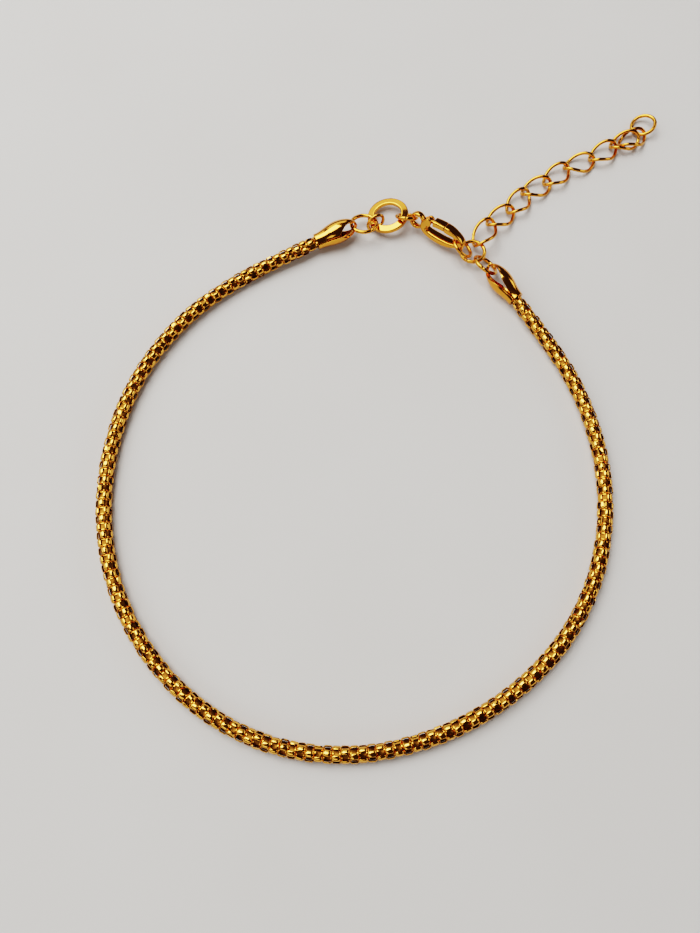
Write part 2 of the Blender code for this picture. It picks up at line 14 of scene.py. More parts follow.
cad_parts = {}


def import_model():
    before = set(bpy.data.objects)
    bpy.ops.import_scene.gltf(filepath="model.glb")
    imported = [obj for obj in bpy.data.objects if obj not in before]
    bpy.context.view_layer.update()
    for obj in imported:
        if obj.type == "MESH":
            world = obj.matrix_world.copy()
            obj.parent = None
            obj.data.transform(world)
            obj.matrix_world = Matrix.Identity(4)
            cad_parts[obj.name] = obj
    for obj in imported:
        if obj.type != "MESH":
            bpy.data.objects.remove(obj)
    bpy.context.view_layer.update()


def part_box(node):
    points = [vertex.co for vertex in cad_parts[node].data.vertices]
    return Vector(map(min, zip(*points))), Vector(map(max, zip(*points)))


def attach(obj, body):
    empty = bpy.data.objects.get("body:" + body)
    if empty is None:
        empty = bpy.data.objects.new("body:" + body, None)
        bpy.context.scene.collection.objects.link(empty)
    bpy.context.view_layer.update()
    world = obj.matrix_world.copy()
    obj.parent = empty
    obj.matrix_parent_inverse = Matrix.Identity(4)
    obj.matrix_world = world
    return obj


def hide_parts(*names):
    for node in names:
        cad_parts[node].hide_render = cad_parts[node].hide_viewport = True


MM = 0.001

# How each piece lies: heading from +X, pitch of its own X, and roll about it, in degrees
LYING = {
    "end_cap_right": (125.5, 5, -38),
    "cap_ring_right": (127, -2, 40),
    "joining_ring": (128, -1, -2),
    "hooked_ring": (163, 34, 24),
    "clasp": (-34, 2, 70),
    "clasp_ring": (155, -19, 40),
    "band_ring": (167, -12, 1),
    "small_ring": (212, -28, -68),
    "cap_ring_left": (193, 3, 15),
    "end_cap_left": (25, 6, 60),
    "extension_link_1": (59, 2, -10),
    "extension_link_2": (37, -4, 1),
    "extension_link_3": (53, -1, 1),
    "extension_link_4": (28, 0, 0),
    "extension_link_5": (42, 1, -1),
    "extension_link_6": (20, 0, 0),
    "extension_link_7": (35, 2, -3),
    "extension_link_8": (26, 0, 0),
    "extension_link_9": (34, -4, -8),
    "end_ring": (85, 2, -20),
}

# Bent-wire rings: length, width and wire
RINGS = {
    "cap_ring_right": (4.5, 4.5, 0.60),
    "joining_ring": (4.3, 4.3, 0.56),
    "hooked_ring": (4.1, 4.1, 0.56),
    "clasp_ring": (3.8, 3.8, 0.60),
    "small_ring": (3.3, 2.7, 0.50),
    "cap_ring_left": (4.6, 4.6, 0.60),
    "end_ring": (4.3, 4.3, 0.56),
}
# Where a ring's two ends meet: place round the ring, the groove's width and how far it thins the wire
RING_SEAM_TURN = 0.62 * math.pi
RING_SEAM_WIDTH = 0.05
RING_SEAM_DEPTH = 0.33

# Extension links, turned along their length so that the chain lies flat
EXTENSION_LINKS = 9
EXTENSION_LINK = (5.9, 3.8, 0.52)
EXTENSION_TWIST = math.radians(45)

# Flat band ring: its faces fall towards the outside by BAND_SLOPE, inside its height
BAND_OUTER = 6.6
BAND_FACE = 1.15
BAND_HEIGHT = 0.8
BAND_SLOPE = 0.11
BAND_FILL = 0.84
BAND_SQUARENESS = 0.34

# End caps
CAP_LENGTH = 7.1
CAP_BELL_RADIUS = 1.75
CAP_WALL = 0.3
CAP_TIP_RADIUS = 0.95
CAP_EDGE = 0.05
# Share of the length, share of the bell's radius, and the strip's wrap in the left and in the right cap
CAP_SECTIONS = (
    (0.00, 0.72, 86, 86), (0.10, 0.73, 86, 85), (0.22, 0.80, 86, 82), (0.36, 0.93, 86, 76),
    (0.50, 1.00, 84, 70), (0.62, 0.98, 68, 61), (0.74, 0.88, 49, 49), (0.86, 0.69, 36, 36),
    (0.955, 0.40, 29, 29), (1.00, 0.00, 28, 28),
)
WRAP_COLUMNS = {"left": 2, "right": 3}

# Lobster clasp
CLASP_LENGTH = 10.0
CLASP_HEIGHT = 3.4
CLASP_THICKNESS = 1.8
CLASP_WINDOW_WIDTH = 1.3
NOSE_LENGTH = 1.2
NOSE_THICKNESS = 1.3
NOSE_POINT = 0.5
EYE_BLUNTNESS = 0.7
EYE_HOLE_DIAMETER = 1.6
EYE_WALL = 0.55
EYE_THICKNESS = 1.1
EYE_WEB = 0.6
EYE_SWELL = 1.15
THICKNESS_POWER = 2.2
CLAW_SQUARENESS = 0.42
SMALL_SQUARENESS = 0.5
LEVER_RECESS = 0.1
LEVER_TONGUE = 0.6
LEVER_GAP = 0.09
PIN_DIAMETER = 0.5
EAR_RADIUS = 0.62
PIVOT_ANGLE = math.radians(146)
SEAM_ANGLE = math.radians(86)
CLAW_BASE_ANGLE = math.radians(158)
SEAM_BLEND = math.radians(25)
NECK_OVERLAP = 0.07
DISC_DOME = 0.04
RIVET_DOME = 0.05
CAST_VOXEL = 0.05

# Main chain: eight columns of bent-strip links on hoops, its route and how it turns along its length
CHAIN_RADIUS = 1.15
CHAIN_HEIGHT = 1.111
CHAIN_COLUMNS = 8
CHAIN_PITCH = 2.3
CHAIN_INSERT = 1.8
CHAIN_TAPER_LENGTH = 2.2
CHAIN_RISE_LENGTH = 12.0
CHAIN_MOUTH_RADIUS = 0.90
HOOP_RADIUS = 0.74
HOOP_WIRE = 0.19
HOOP_OFFSET = 0.44
CORE_RADIUS = 0.73
CORE_RIB = 0.12
LINK_MIDDLE_RADIUS = 0.665
# How the columns swing round the chain: size in radians, millimetres per radian, and start
CHAIN_SWINGS = ((1.1, 13.0, 0.6), (0.8, 7.3, 2.0))
# How loosely each link sits: tip and lean as slopes, slide in millimetres
LINK_PLAY = (0.05, 0.06, 0.03)
# How much each plate's crown is sunk: mean, spread and most, as shares of half its thickness
LINK_GROOVE = (0.10, 0.35, 0.8)
# The right cap's mouth and the chain's start, as the route was read, and the route between them
ANCHOR = (25.7, 27.1)
CHAIN_START = (-6.2, 37.1)
CHAIN_ROUTE = (
    (-17.7, 30.7), (-25.8, 23.8), (-31.7, 14.9), (-34.8, 4.7), (-35.2, -5.9), (-32.8, -16.4),
    (-27.6, -25.6), (-19.9, -33.0), (-10.3, -37.6), (0.3, -38.8), (10.8, -36.7), (20.3, -32.0),
    (28.3, -24.9), (33.8, -15.7), (36.2, -5.4), (35.7, 5.2), (32.5, 15.4),
)
# Half of a link's strip, from over its middle to under it: place along the chain, height from its
# middle, width and thickness of the strip
LINK_PROFILE = np.array([
    (0.16, 0.330, 0.78, 0.24), (0.37, 0.320, 0.78, 0.24), (0.49, 0.210, 0.60, 0.24),
    (0.68, -0.010, 0.34, 0.18), (0.66, -0.150, 0.25, 0.16), (0.34, -0.240, 0.24, 0.16),
])

# The floor's half side
FLOOR_REACH = 1500.0

# Softboxes round the table: name, place, size, watts and colour
SOFTBOXES = (
    ("overhead key", (-205, 190, 565), (520, 480), 4.3, "#fffefc"),
    ("left softbox", (-560, 60, 330), (560, 380), 1.1, "#fffefc"),
    ("right softbox", (580, 120, 260), (460, 240), 0.65, "#fffeff"),
    ("front strip", (-220, -470, 300), (560, 260), 0.6, "#fffdf8"),
    ("back softbox", (-160, 640, 380), (620, 330), 0.8, "#fffefc"),
)

# Where the camera stood over the middle of the loop
VIEW_TILT = math.radians(18)
VIEW_DISTANCE = 108.0
VIEW_HEIGHT = 1.15
VIEW_FOCAL_PIXELS = 750.0
FRAME_PIXELS = 933.0


def srgb(code):
    """An sRGB hex value as linear red, green, blue and alpha."""
    channels = np.array([int(code[start:start + 2], 16) for start in (1, 3, 5)]) / 255
    linear = np.where(channels <= 0.04045, channels / 12.92, ((channels + 0.055) / 1.055) ** 2.4)
    return (*linear.tolist(), 1.0)


def add_node(tree, kind, values=None, links=None, **settings):
    """A shader node with its settings, the values of its inputs and what is linked into them."""
    node = tree.nodes.new(kind)
    for key, value in settings.items():
        setattr(node, key, value)
    for key, value in (values or {}).items():
        node.inputs[key].default_value = value
    for key, socket in (links or {}).items():
        tree.links.new(socket, node.inputs[key])
    return node


def unit(vectors):
    """Each row scaled to length one."""
    return vectors / np.linalg.norm(vectors, axis=-1, keepdims=True)


def turned(heading, pitch, roll):
    """Rotation matrix: roll about X, lift X by the pitch, then turn it to the heading, in degrees."""
    spin = Matrix.Rotation(math.radians(heading), 3, "Z")
    nod = Matrix.Rotation(-math.radians(pitch), 3, "Y")
    lean = Matrix.Rotation(math.radians(roll), 3, "X")
    return np.array(spin @ nod @ lean)


def seated(node, points, heading, pitch, roll):
    """The turn, and the centre that brings the turned points' box onto the box of the CAD node."""
    turn = turned(heading, pitch, roll)
    low, high = (np.array(corner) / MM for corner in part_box(node))
    body = points @ turn.T
    return turn, (low + high - body.min(axis=0) - body.max(axis=0)) / 2


def grid_faces(rows, columns, wrap_rows, wrap_columns):
    """Quads between neighbouring rows and columns of a grid of points."""
    row = np.arange(rows if wrap_rows else rows - 1)
    column = np.arange(columns if wrap_columns else columns - 1)
    r, c = np.meshgrid(row, column, indexing="ij")
    r2, c2 = (r + 1) % rows, (c + 1) % columns
    corners = (r * columns + c, r * columns + c2, r2 * columns + c2, r2 * columns + c)
    return np.stack(corners, axis=-1).reshape(-1, 4).tolist()


def carried(path, outward, upward, section):
    """The path carries the section: its first column along outward and its second along upward."""
    across = section[..., 0:1] * outward[..., None, :]
    along = section[..., 1:2] * upward[..., None, :]
    return (path[..., None, :] + across + along).reshape(-1, 3)


def box_section(sides, half_out, half_up, squareness):
    """Points round a softened box: cosine and sine, each to the power of the squareness."""
    angle = (np.arange(sides) + 0.5) * 2 * math.pi / sides
    cosine, sine = np.cos(angle), np.sin(angle)
    out = np.sign(cosine) * np.abs(cosine) ** squareness * half_out
    up = np.sign(sine) * np.abs(sine) ** squareness * half_up
    return np.stack([out, up], axis=-1)


def smooth_through(points, steps):
    """A Catmull-Rom curve through the points, with the same number of steps in each span."""
    padded = np.vstack([2 * points[0] - points[1], points, 2 * points[-1] - points[-2]])
    before, start, end, after = padded[:-3], padded[1:-2], padded[2:-1], padded[3:]
    t = np.linspace(0, 1, steps, endpoint=False)[:, None, None]
    curve = 0.5 * (2 * start + (end - before) * t + (2 * before - 5 * start + 4 * end - after) * t**2
                   + (3 * start - before - 3 * end + after) * t**3)
    return np.vstack([curve.transpose(1, 0, 2).reshape(-1, points.shape[1]), points[-1]])


def piece(name, points, faces, material, crease=40):
    """A mesh object from points in millimetres: faces outward, edges over the crease angle sharp."""
    mesh = bpy.data.meshes.new(name)
    mesh.from_pydata((np.asarray(points) * MM).tolist(), [], faces)
    shaped = bmesh.new()
    shaped.from_mesh(mesh)
    bmesh.ops.recalc_face_normals(shaped, faces=shaped.faces)
    shaped.to_mesh(mesh)
    shaped.free()
    mesh.shade_smooth()
    mesh.set_sharp_from_angle(angle=math.radians(crease))
    mesh.materials.append(material)
    made = bpy.data.objects.new(name, mesh)
    bpy.context.collection.objects.link(made)
    return made


def stand_for(made, node, body="root"):
    """The piece takes the place of its CAD node and moves with its body."""
    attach(made, body)
    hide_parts(node)
    return made


def gold(name, colour, deep, roughness, grain, relief, scratch):
    """Polished gold plate.

    The colour drifts between the two tones over a few millimetres.  The roughness drifts between a half
    and 1.6 of its value over the grain.  The relief is the soft unevenness of the metal under the plate,
    and the scratch is fine rubbing marks across it.
    """
    material = bpy.data.materials.new(name)
    material.use_nodes = True
    tree = material.node_tree
    shader = tree.nodes["Principled BSDF"]
    place = add_node(tree, "ShaderNodeTexCoord").outputs["Object"]
    drift = add_node(tree, "ShaderNodeTexNoise", {"Scale": 1 / (3.0 * MM), "Detail": 2.0},
                     {"Vector": place})
    tone = add_node(tree, "ShaderNodeMix", {6: srgb(deep), 7: srgb(colour)},
                    {0: drift.outputs["Fac"]}, data_type="RGBA")
    fine = add_node(tree, "ShaderNodeTexNoise",
                    {"Scale": 1 / (grain * MM), "Detail": 4.0, "Roughness": 0.6}, {"Vector": place})
    worn = add_node(tree, "ShaderNodeMapRange", {"To Min": 0.5 * roughness, "To Max": 1.6 * roughness},
                    {"Value": fine.outputs["Fac"]})
    stretched = add_node(tree, "ShaderNodeMapping",
                         {"Scale": (1.0, 9.0, 3.0), "Rotation": (0.3, 0.5, 0.9)}, {"Vector": place})
    marks = add_node(tree, "ShaderNodeTexNoise",
                     {"Scale": 1 / (0.35 * MM), "Detail": 5.0, "Roughness": 0.7},
                     {"Vector": stretched.outputs["Vector"]})
    rubbed = add_node(tree, "ShaderNodeBump", {"Strength": scratch, "Distance": 0.01 * MM},
                      {"Height": marks.outputs["Fac"]})
    uneven = add_node(tree, "ShaderNodeTexNoise", {"Scale": 1 / (0.8 * MM), "Detail": 1.0},
                      {"Vector": place})
    dented = add_node(tree, "ShaderNodeBump", {"Strength": relief, "Distance": 0.04 * MM},
                      {"Height": uneven.outputs["Fac"], "Normal": rubbed.outputs["Normal"]})
    tree.links.new(tone.outputs[2], shader.inputs["Base Color"])
    tree.links.new(worn.outputs["Result"], shader.inputs["Roughness"])
    tree.links.new(dented.outputs["Normal"], shader.inputs["Normal"])
    shader.inputs["Metallic"].default_value = 1.0
    return material


def ring_surface(length, width, wire, twist=0.0, stations=96, sides=18):
    """A closed wire loop and its cut.

    The path is an ellipse in the XY plane, rolled about X from minus to plus the twist end to end.
    The wire is round and thins by RING_SEAM_DEPTH times a bell curve of the distance from the cut.
    """
    half_length, half_width = (length - wire) / 2, (width - wire) / 2
    turn = np.arange(stations) * 2 * math.pi / stations
    x, y = half_length * np.cos(turn), half_width * np.sin(turn)
    roll = twist * x / half_length
    points = np.stack([x, y * np.cos(roll), y * np.sin(roll)], axis=-1)
    tangent = unit(np.roll(points, -1, axis=0) - np.roll(points, 1, axis=0))
    upward = np.stack([np.zeros(stations), -np.sin(roll), np.cos(roll)], axis=-1)
    outward = unit(np.cross(tangent, upward))
    upward = np.cross(outward, tangent)
    away = np.abs((turn - RING_SEAM_TURN + math.pi) % (2 * math.pi) - math.pi) * half_length
    thin = 1 - RING_SEAM_DEPTH * np.exp(-(away / RING_SEAM_WIDTH) ** 2)
    section = box_section(sides, wire / 2, wire / 2, 1.0)[None] * thin[:, None, None]
    return carried(points, outward, upward, section), grid_faces(stations, sides, True, True)


def band_surface(stations=96, sides=24):
    """A flat ring: a circle carries a softened box, wide along the radius and low in height.

    The box's height is BAND_FILL of the ring's, less BAND_SLOPE times the distance outward.
    """
    radius = (BAND_OUTER - BAND_FACE) / 2
    turn = np.arange(stations) * 2 * math.pi / stations
    outward = np.stack([np.cos(turn), np.sin(turn), np.zeros(stations)], axis=-1)
    upward = np.tile([0.0, 0.0, 1.0], (stations, 1))
    section = box_section(sides, BAND_FACE / 2, BAND_HEIGHT / 2, BAND_SQUARENESS)
    section[:, 1] = BAND_FILL * section[:, 1] - BAND_SLOPE * section[:, 0]
    return carried(radius * outward, outward, upward, section), grid_faces(stations, sides, True, True)


def cap_surface(wrap_column, steps=6, wraps=18):
    """A folded strip: half of the mouth, along to the tip, over it and back as the other half.

    The strip's middle line runs through CAP_SECTIONS and its mirror.  Across the line the strip is
    wrapped on a circle: its radius is the line's distance from the axis, or the tip's if that is more.
    """
    table = np.array(CAP_SECTIONS)
    reach = np.radians(table[:, wrap_column])
    arm = np.stack([table[:, 0] * CAP_LENGTH, table[:, 1] * CAP_BELL_RADIUS, reach], axis=-1)
    path = smooth_through(np.vstack([arm, arm[:-1][::-1] * (1, -1, 1)]), steps)
    centre = path[:, :2]
    along = unit(np.gradient(centre, axis=0))
    normal = np.stack([-along[:, 1], along[:, 0]], axis=-1)
    radius = np.maximum(np.abs(centre[:, 1]), CAP_TIP_RADIUS)
    wrap = np.linspace(-1, 1, wraps + 1)[None, :] * path[:, 2:3]
    shells = []
    for inset in (0.0, CAP_WALL):
        curve = (radius - inset)[:, None]
        drop = curve * (1 - np.cos(wrap))
        flat = (centre - normal * inset)[:, None, :] - normal[:, None, :] * drop[..., None]
        shells.append(np.dstack([flat, curve * np.sin(wrap)]).reshape(-1, 3))
    rows, columns = len(path), wraps + 1
    ring = np.arange(rows * columns).reshape(rows, columns)
    border = np.concatenate([ring[0, :-1], ring[:-1, -1], ring[-1, :0:-1], ring[:0:-1, 0]])
    inner = rows * columns
    faces = grid_faces(rows, columns, False, False)
    faces += [[index + inner for index in face[::-1]] for face in faces]
    after = np.roll(border, -1)
    faces += np.stack([border, after, after + inner, border + inner], axis=-1).tolist()
    return np.vstack(shells), faces


def claw_ends():
    """Where along the clasp its outside and its window begin and end."""
    eye_outer = EYE_HOLE_DIAMETER / 2 + EYE_WALL
    tip = CLASP_LENGTH - eye_outer
    return (EYE_HOLE_DIAMETER / 2, tip), (eye_outer + EYE_WEB, tip - NOSE_LENGTH)


def claw_frames(angle):
    """Points of the claw's middle line, their outward directions, and how high the claw is there.

    The outside is an oval.  Towards the nose its height follows the sine times the mean of one and the
    sine, so that it comes to a point; towards the eye it follows a power of the sine below one, so that
    it stays blunt.  The window's height follows the root of the sine: a slot with rounded ends.
    """
    outside, window = claw_ends()
    cosine, sine = np.cos(angle), np.sin(angle)
    size = np.abs(sine)
    pointed = size * (NOSE_POINT + (1 - NOSE_POINT) * size)
    bulge = np.sign(sine) * np.where(cosine > 0, pointed, size**EYE_BLUNTNESS) * CLASP_HEIGHT / 2
    slot = np.sign(sine) * np.sqrt(np.abs(sine)) * CLASP_WINDOW_WIDTH / 2
    lines = []
    for (left, right), rise in ((outside, bulge), (window, slot)):
        along = (left + right) / 2 + (right - left) / 2 * cosine
        lines.append(np.stack([along, rise, 0 * angle], axis=-1))
    span = lines[0] - lines[1]
    return (lines[0] + lines[1]) / 2, unit(span), np.linalg.norm(span, axis=-1)


def claw_point(angle):
    """A point of the claw's middle line."""
    return claw_frames(np.array([angle]))[0][0]


def seam_facing(outward, blend):
    """Outward directions eased towards the seam's plane, which faces the lever's pivot."""
    arm = claw_point(SEAM_ANGLE) - claw_point(PIVOT_ANGLE)
    facing = unit(np.array([-arm[1], arm[0], 0.0]))
    return unit(outward * (1 - blend[:, None]) + facing * blend[:, None])


def claw_thickness(points):
    """Thickness: full at the claw's middle, easing to the ends by a power of the way there."""
    left, right = claw_ends()[0]
    middle = (left + right) / 2
    share = np.clip(np.abs(points[:, 0] - middle) / (right - middle), 0, 1)
    end = np.where(points[:, 0] > middle, NOSE_THICKNESS, EYE_THICKNESS * EYE_SWELL)
    return CLASP_THICKNESS + (end - CLASP_THICKNESS) * share**THICKNESS_POWER


def bar(points, outward, height, thickness, sides=28, squareness=CLAW_SQUARENESS, lift=0.0):
    """A closed bar along an open path, its ends flat; lift moves it sideways along Z."""
    upward = np.tile([0.0, 0.0, 1.0], (len(points), 1))
    base = box_section(sides, 0.5, 0.5, squareness)
    section = base[None] * np.stack([height, thickness], axis=-1)[:, None, :]
    verts = carried(points + (0.0, 0.0, lift), outward, upward, section)
    faces = grid_faces(len(points), sides, False, True)
    faces.append(list(range(sides)))
    faces.append(list(range((len(points) - 1) * sides, len(points) * sides))[::-1])
    return verts, faces


def disc(centre, radius, low, high, sides=40, dome=0.0):
    """A round disc with its axis along Z between two heights, its rim rounded off by the dome."""
    turn = np.arange(sides) * 2 * math.pi / sides
    rim = np.stack([np.cos(turn), np.sin(turn)], axis=-1)
    levels = ((radius - dome, low), (radius, low + dome), (radius, high - dome), (radius - dome, high))
    rows = [np.hstack([rim * size + centre[:2], np.full((sides, 1), level)]) for size, level in levels]
    faces = grid_faces(len(levels), sides, False, True)
    faces += [list(range(sides)), list(range(3 * sides, 4 * sides))[::-1]]
    return np.vstack(rows), faces


def joined(parts):
    """Several closed surfaces as one list of points and faces."""
    points, faces, count = [], [], 0
    for part_points, part_faces in parts:
        points.append(part_points)
        faces += [[index + count for index in face] for face in part_faces]
        count += len(part_points)
    return np.vstack(points), faces


def seam_gap():
    """Half of the gap at the seam, as an angle of the claw's outline."""
    left, right = claw_ends()[0]
    return LEVER_GAP / (right - left)


def claw_surface():
    """The claw past the eye, along the spine and over the nose, with its eye and two ears."""
    angle = np.linspace(CLAW_BASE_ANGLE, 2 * math.pi + SEAM_ANGLE - seam_gap(), 110)
    points, outward, height = claw_frames(angle)
    outward = seam_facing(outward, np.clip((angle - angle[-1]) / SEAM_BLEND + 1, 0, 1))
    parts = [bar(points, outward, height, claw_thickness(points))]
    turn = np.arange(48) * 2 * math.pi / 48
    around = np.stack([np.cos(turn), np.sin(turn), np.zeros(48)], axis=-1)
    upward = np.tile([0.0, 0.0, 1.0], (48, 1))
    section = box_section(16, EYE_WALL / 2, EYE_THICKNESS / 2, 0.7)
    radius = (EYE_HOLE_DIAMETER + EYE_WALL) / 2
    parts.append((carried(radius * around, around, upward, section), grid_faces(48, 16, True, True)))
    pivot = claw_point(PIVOT_ANGLE)
    half = claw_thickness(pivot[None])[0] / 2
    slot = LEVER_TONGUE / 2 + LEVER_GAP
    steps = 8
    neck = np.linspace(PIVOT_ANGLE, CLAW_BASE_ANGLE + NECK_OVERLAP, steps)
    neck_points, neck_outward, neck_height = claw_frames(neck)
    for side in (-1, 1):
        low, high = sorted((side * slot, side * half))
        parts.append(disc(pivot, EAR_RADIUS, low, high, dome=DISC_DOME))
        deep, middle = np.full(steps, high - low), (low + high) / 2
        parts.append(bar(neck_points, neck_outward, neck_height, deep, 16, SMALL_SQUARENESS, middle))
    return joined(parts)


def lever_surface():
    """The lever from the ears to the seam, with the tongue that turns on the pin."""
    pivot = claw_point(PIVOT_ANGLE)
    speed = np.linalg.norm(claw_point(PIVOT_ANGLE + 0.01) - claw_point(PIVOT_ANGLE - 0.01)) / 0.02
    start = PIVOT_ANGLE - (EAR_RADIUS + 2 * LEVER_GAP) / speed
    angle = np.linspace(start, SEAM_ANGLE + seam_gap(), 40)
    points, outward, height = claw_frames(angle)
    outward = seam_facing(outward, np.clip((angle[-1] - angle) / -SEAM_BLEND + 1, 0, 1))
    points = points + outward * LEVER_RECESS / 2
    parts = [bar(points, outward, height - LEVER_RECESS, claw_thickness(points))]
    tongue = LEVER_TONGUE / 2
    radius = EAR_RADIUS - LEVER_GAP
    parts.append(disc(pivot, radius, -tongue, tongue, dome=DISC_DOME))
    steps = 4
    reach = np.linspace(pivot, points[0] + 0.4 * (points[0] - pivot), steps)
    side = np.tile(unit(np.cross([0.0, 0.0, 1.0], points[0] - pivot)), (steps, 1))
    wide, deep = np.full(steps, radius), np.full(steps, LEVER_TONGUE)
    parts.append(bar(reach, side, wide, deep, 16, SMALL_SQUARENESS))
    return joined(parts)


def cast(made):
    """Castings flow together where their parts meet: one voxel skin, then smoothed."""
    skin = made.modifiers.new("cast skin", "REMESH")
    skin.mode = "VOXEL"
    skin.voxel_size = CAST_VOXEL * MM
    skin.use_smooth_shade = True
    polish = made.modifiers.new("tumbled", "SMOOTH")
    polish.factor = 0.5
    polish.iterations = 4
    return made


def build_clasp(material):
    """Body, lever and pin in the clasp's own place."""
    claw = claw_surface()
    turn, centre = seated("clasp_body", claw[0], *LYING["clasp"])
    claw_piece = piece("cast_clasp", claw[0] @ turn.T + centre, claw[1], material)
    stand_for(cast(claw_piece), "clasp_body")
    lever = lever_surface()
    lever_piece = piece("cast_lever", lever[0] @ turn.T + centre, lever[1], material)
    stand_for(cast(lever_piece), "clasp_lever", "lever")
    pivot = claw_point(PIVOT_ANGLE)
    half = claw_thickness(pivot[None])[0] / 2
    pin = disc(pivot, PIN_DIAMETER / 2, -half, half, 32, RIVET_DOME)
    stand_for(piece("clasp_rivet", pin[0] @ turn.T + centre, pin[1], material), "clasp_pin")


def build_rings(material):
    """All wire rings, the extension links and the band ring."""
    shapes = {name: ring_surface(*size) for name, size in RINGS.items()}
    shapes["band_ring"] = band_surface()
    link = ring_surface(*EXTENSION_LINK, EXTENSION_TWIST)
    for number in range(1, EXTENSION_LINKS + 1):
        shapes[f"extension_link_{number}"] = link
    for name, (points, faces) in shapes.items():
        turn, centre = seated(name, points, *LYING[name])
        stand_for(piece(f"polished_{name}", points @ turn.T + centre, faces, material), name)


def build_caps(material):
    """Both end caps; returns each one's mouth and the direction from it to the tip."""
    mouths = {}
    for side, wrap_column in WRAP_COLUMNS.items():
        name = f"end_cap_{side}"
        points, faces = cap_surface(wrap_column)
        turn, centre = seated(name, points, *LYING[name])
        made = piece(f"folded_{name}", points @ turn.T + centre, faces, material, 60)
        edge = made.modifiers.new("rubbed edges", "BEVEL")
        edge.width = CAP_EDGE * MM
        edge.segments = 2
        edge.limit_method = "ANGLE"
        edge.angle_limit = math.radians(50)
        stand_for(made, name)
        mouths[name] = (centre, turn[:, 0])
    return mouths


def chain_middle_line(mouths):
    """Closely spaced points of the chain's middle line and how far along each is.

    The route is moved with the right cap, and its start gives way to the left cap, less and less along
    the chain.  Its height rises from the chain's radius to the caps' mouths over CHAIN_RISE_LENGTH.
    """
    (left, into_left), (right, into_right) = mouths["end_cap_left"], mouths["end_cap_right"]
    shift = right[:2] - np.array(ANCHOR)
    route = np.array(CHAIN_ROUTE) + shift
    share = np.arange(1, len(route) + 1) / (len(route) + 1)
    route = route + (left[:2] - shift - np.array(CHAIN_START)) * (1 - share[:, None]) ** 3
    flat = smooth_through(np.vstack([left[:2], route, right[:2]]), 60)
    along = np.concatenate([[0], np.cumsum(np.linalg.norm(np.diff(flat, axis=0), axis=1))])
    height = np.full(len(flat), CHAIN_HEIGHT)
    for mouth, away in ((left, along), (right, along[-1] - along)):
        ease = np.clip(1 - away / CHAIN_RISE_LENGTH, 0, 1)
        height += (mouth[2] - CHAIN_HEIGHT) * ease**2 * (3 - 2 * ease)
    line = np.column_stack([flat, height])
    inside = np.linspace(1, 0, 12, endpoint=False)[:, None] * CHAIN_INSERT
    line = np.vstack([left + into_left * inside, line, right + into_right * inside[::-1]])
    along = np.concatenate([[0], np.cumsum(np.linalg.norm(np.diff(line, axis=0), axis=1))])
    return line, along


def chain_frames(line, along, at):
    """Centre, tangent, level and upward directions at the given lengths along the chain."""
    centre = np.stack([np.interp(at, along, line[:, axis]) for axis in range(3)], axis=-1)
    step = 0.5
    ahead = np.stack([np.interp(at + step, along, line[:, axis]) for axis in range(3)], axis=-1)
    behind = np.stack([np.interp(at - step, along, line[:, axis]) for axis in range(3)], axis=-1)
    tangent = unit(ahead - behind)
    level = unit(np.cross([0.0, 0.0, 1.0], tangent))
    return centre, tangent, level, np.cross(tangent, level)


def chain_turn(at):
    """How far the columns have turned about the chain's middle line: two slow swings."""
    return sum(size * np.sin(at / span + start) for size, span, start in CHAIN_SWINGS)


def chain_squeeze(at, length):
    """Share of the full radius: less inside the caps' mouths, easing to full over the taper."""
    away = np.minimum(at, length - at) - CHAIN_INSERT
    ease = np.clip(away / CHAIN_TAPER_LENGTH, 0, 1)
    return CHAIN_MOUTH_RADIUS / CHAIN_RADIUS * (1 - ease) + ease


def link_loop():
    """The closed strip of one link: path from LINK_PROFILE and its mirror, and its crowned section."""
    ahead = LINK_PROFILE
    path = np.vstack([ahead, ahead[::-1] * (-1, 1, 1, 1)])
    points = path[:, :2]
    tangent = unit(np.roll(points, -1, axis=0) - np.roll(points, 1, axis=0))
    normal = np.stack([-tangent[:, 1], tangent[:, 0]], axis=-1)
    section = np.array([(-1.0, -0.2), (-0.74, 0.88), (0.0, 1.0), (0.74, 0.88), (1.0, -0.2), (0.0, -0.9)])
    return path, normal, section


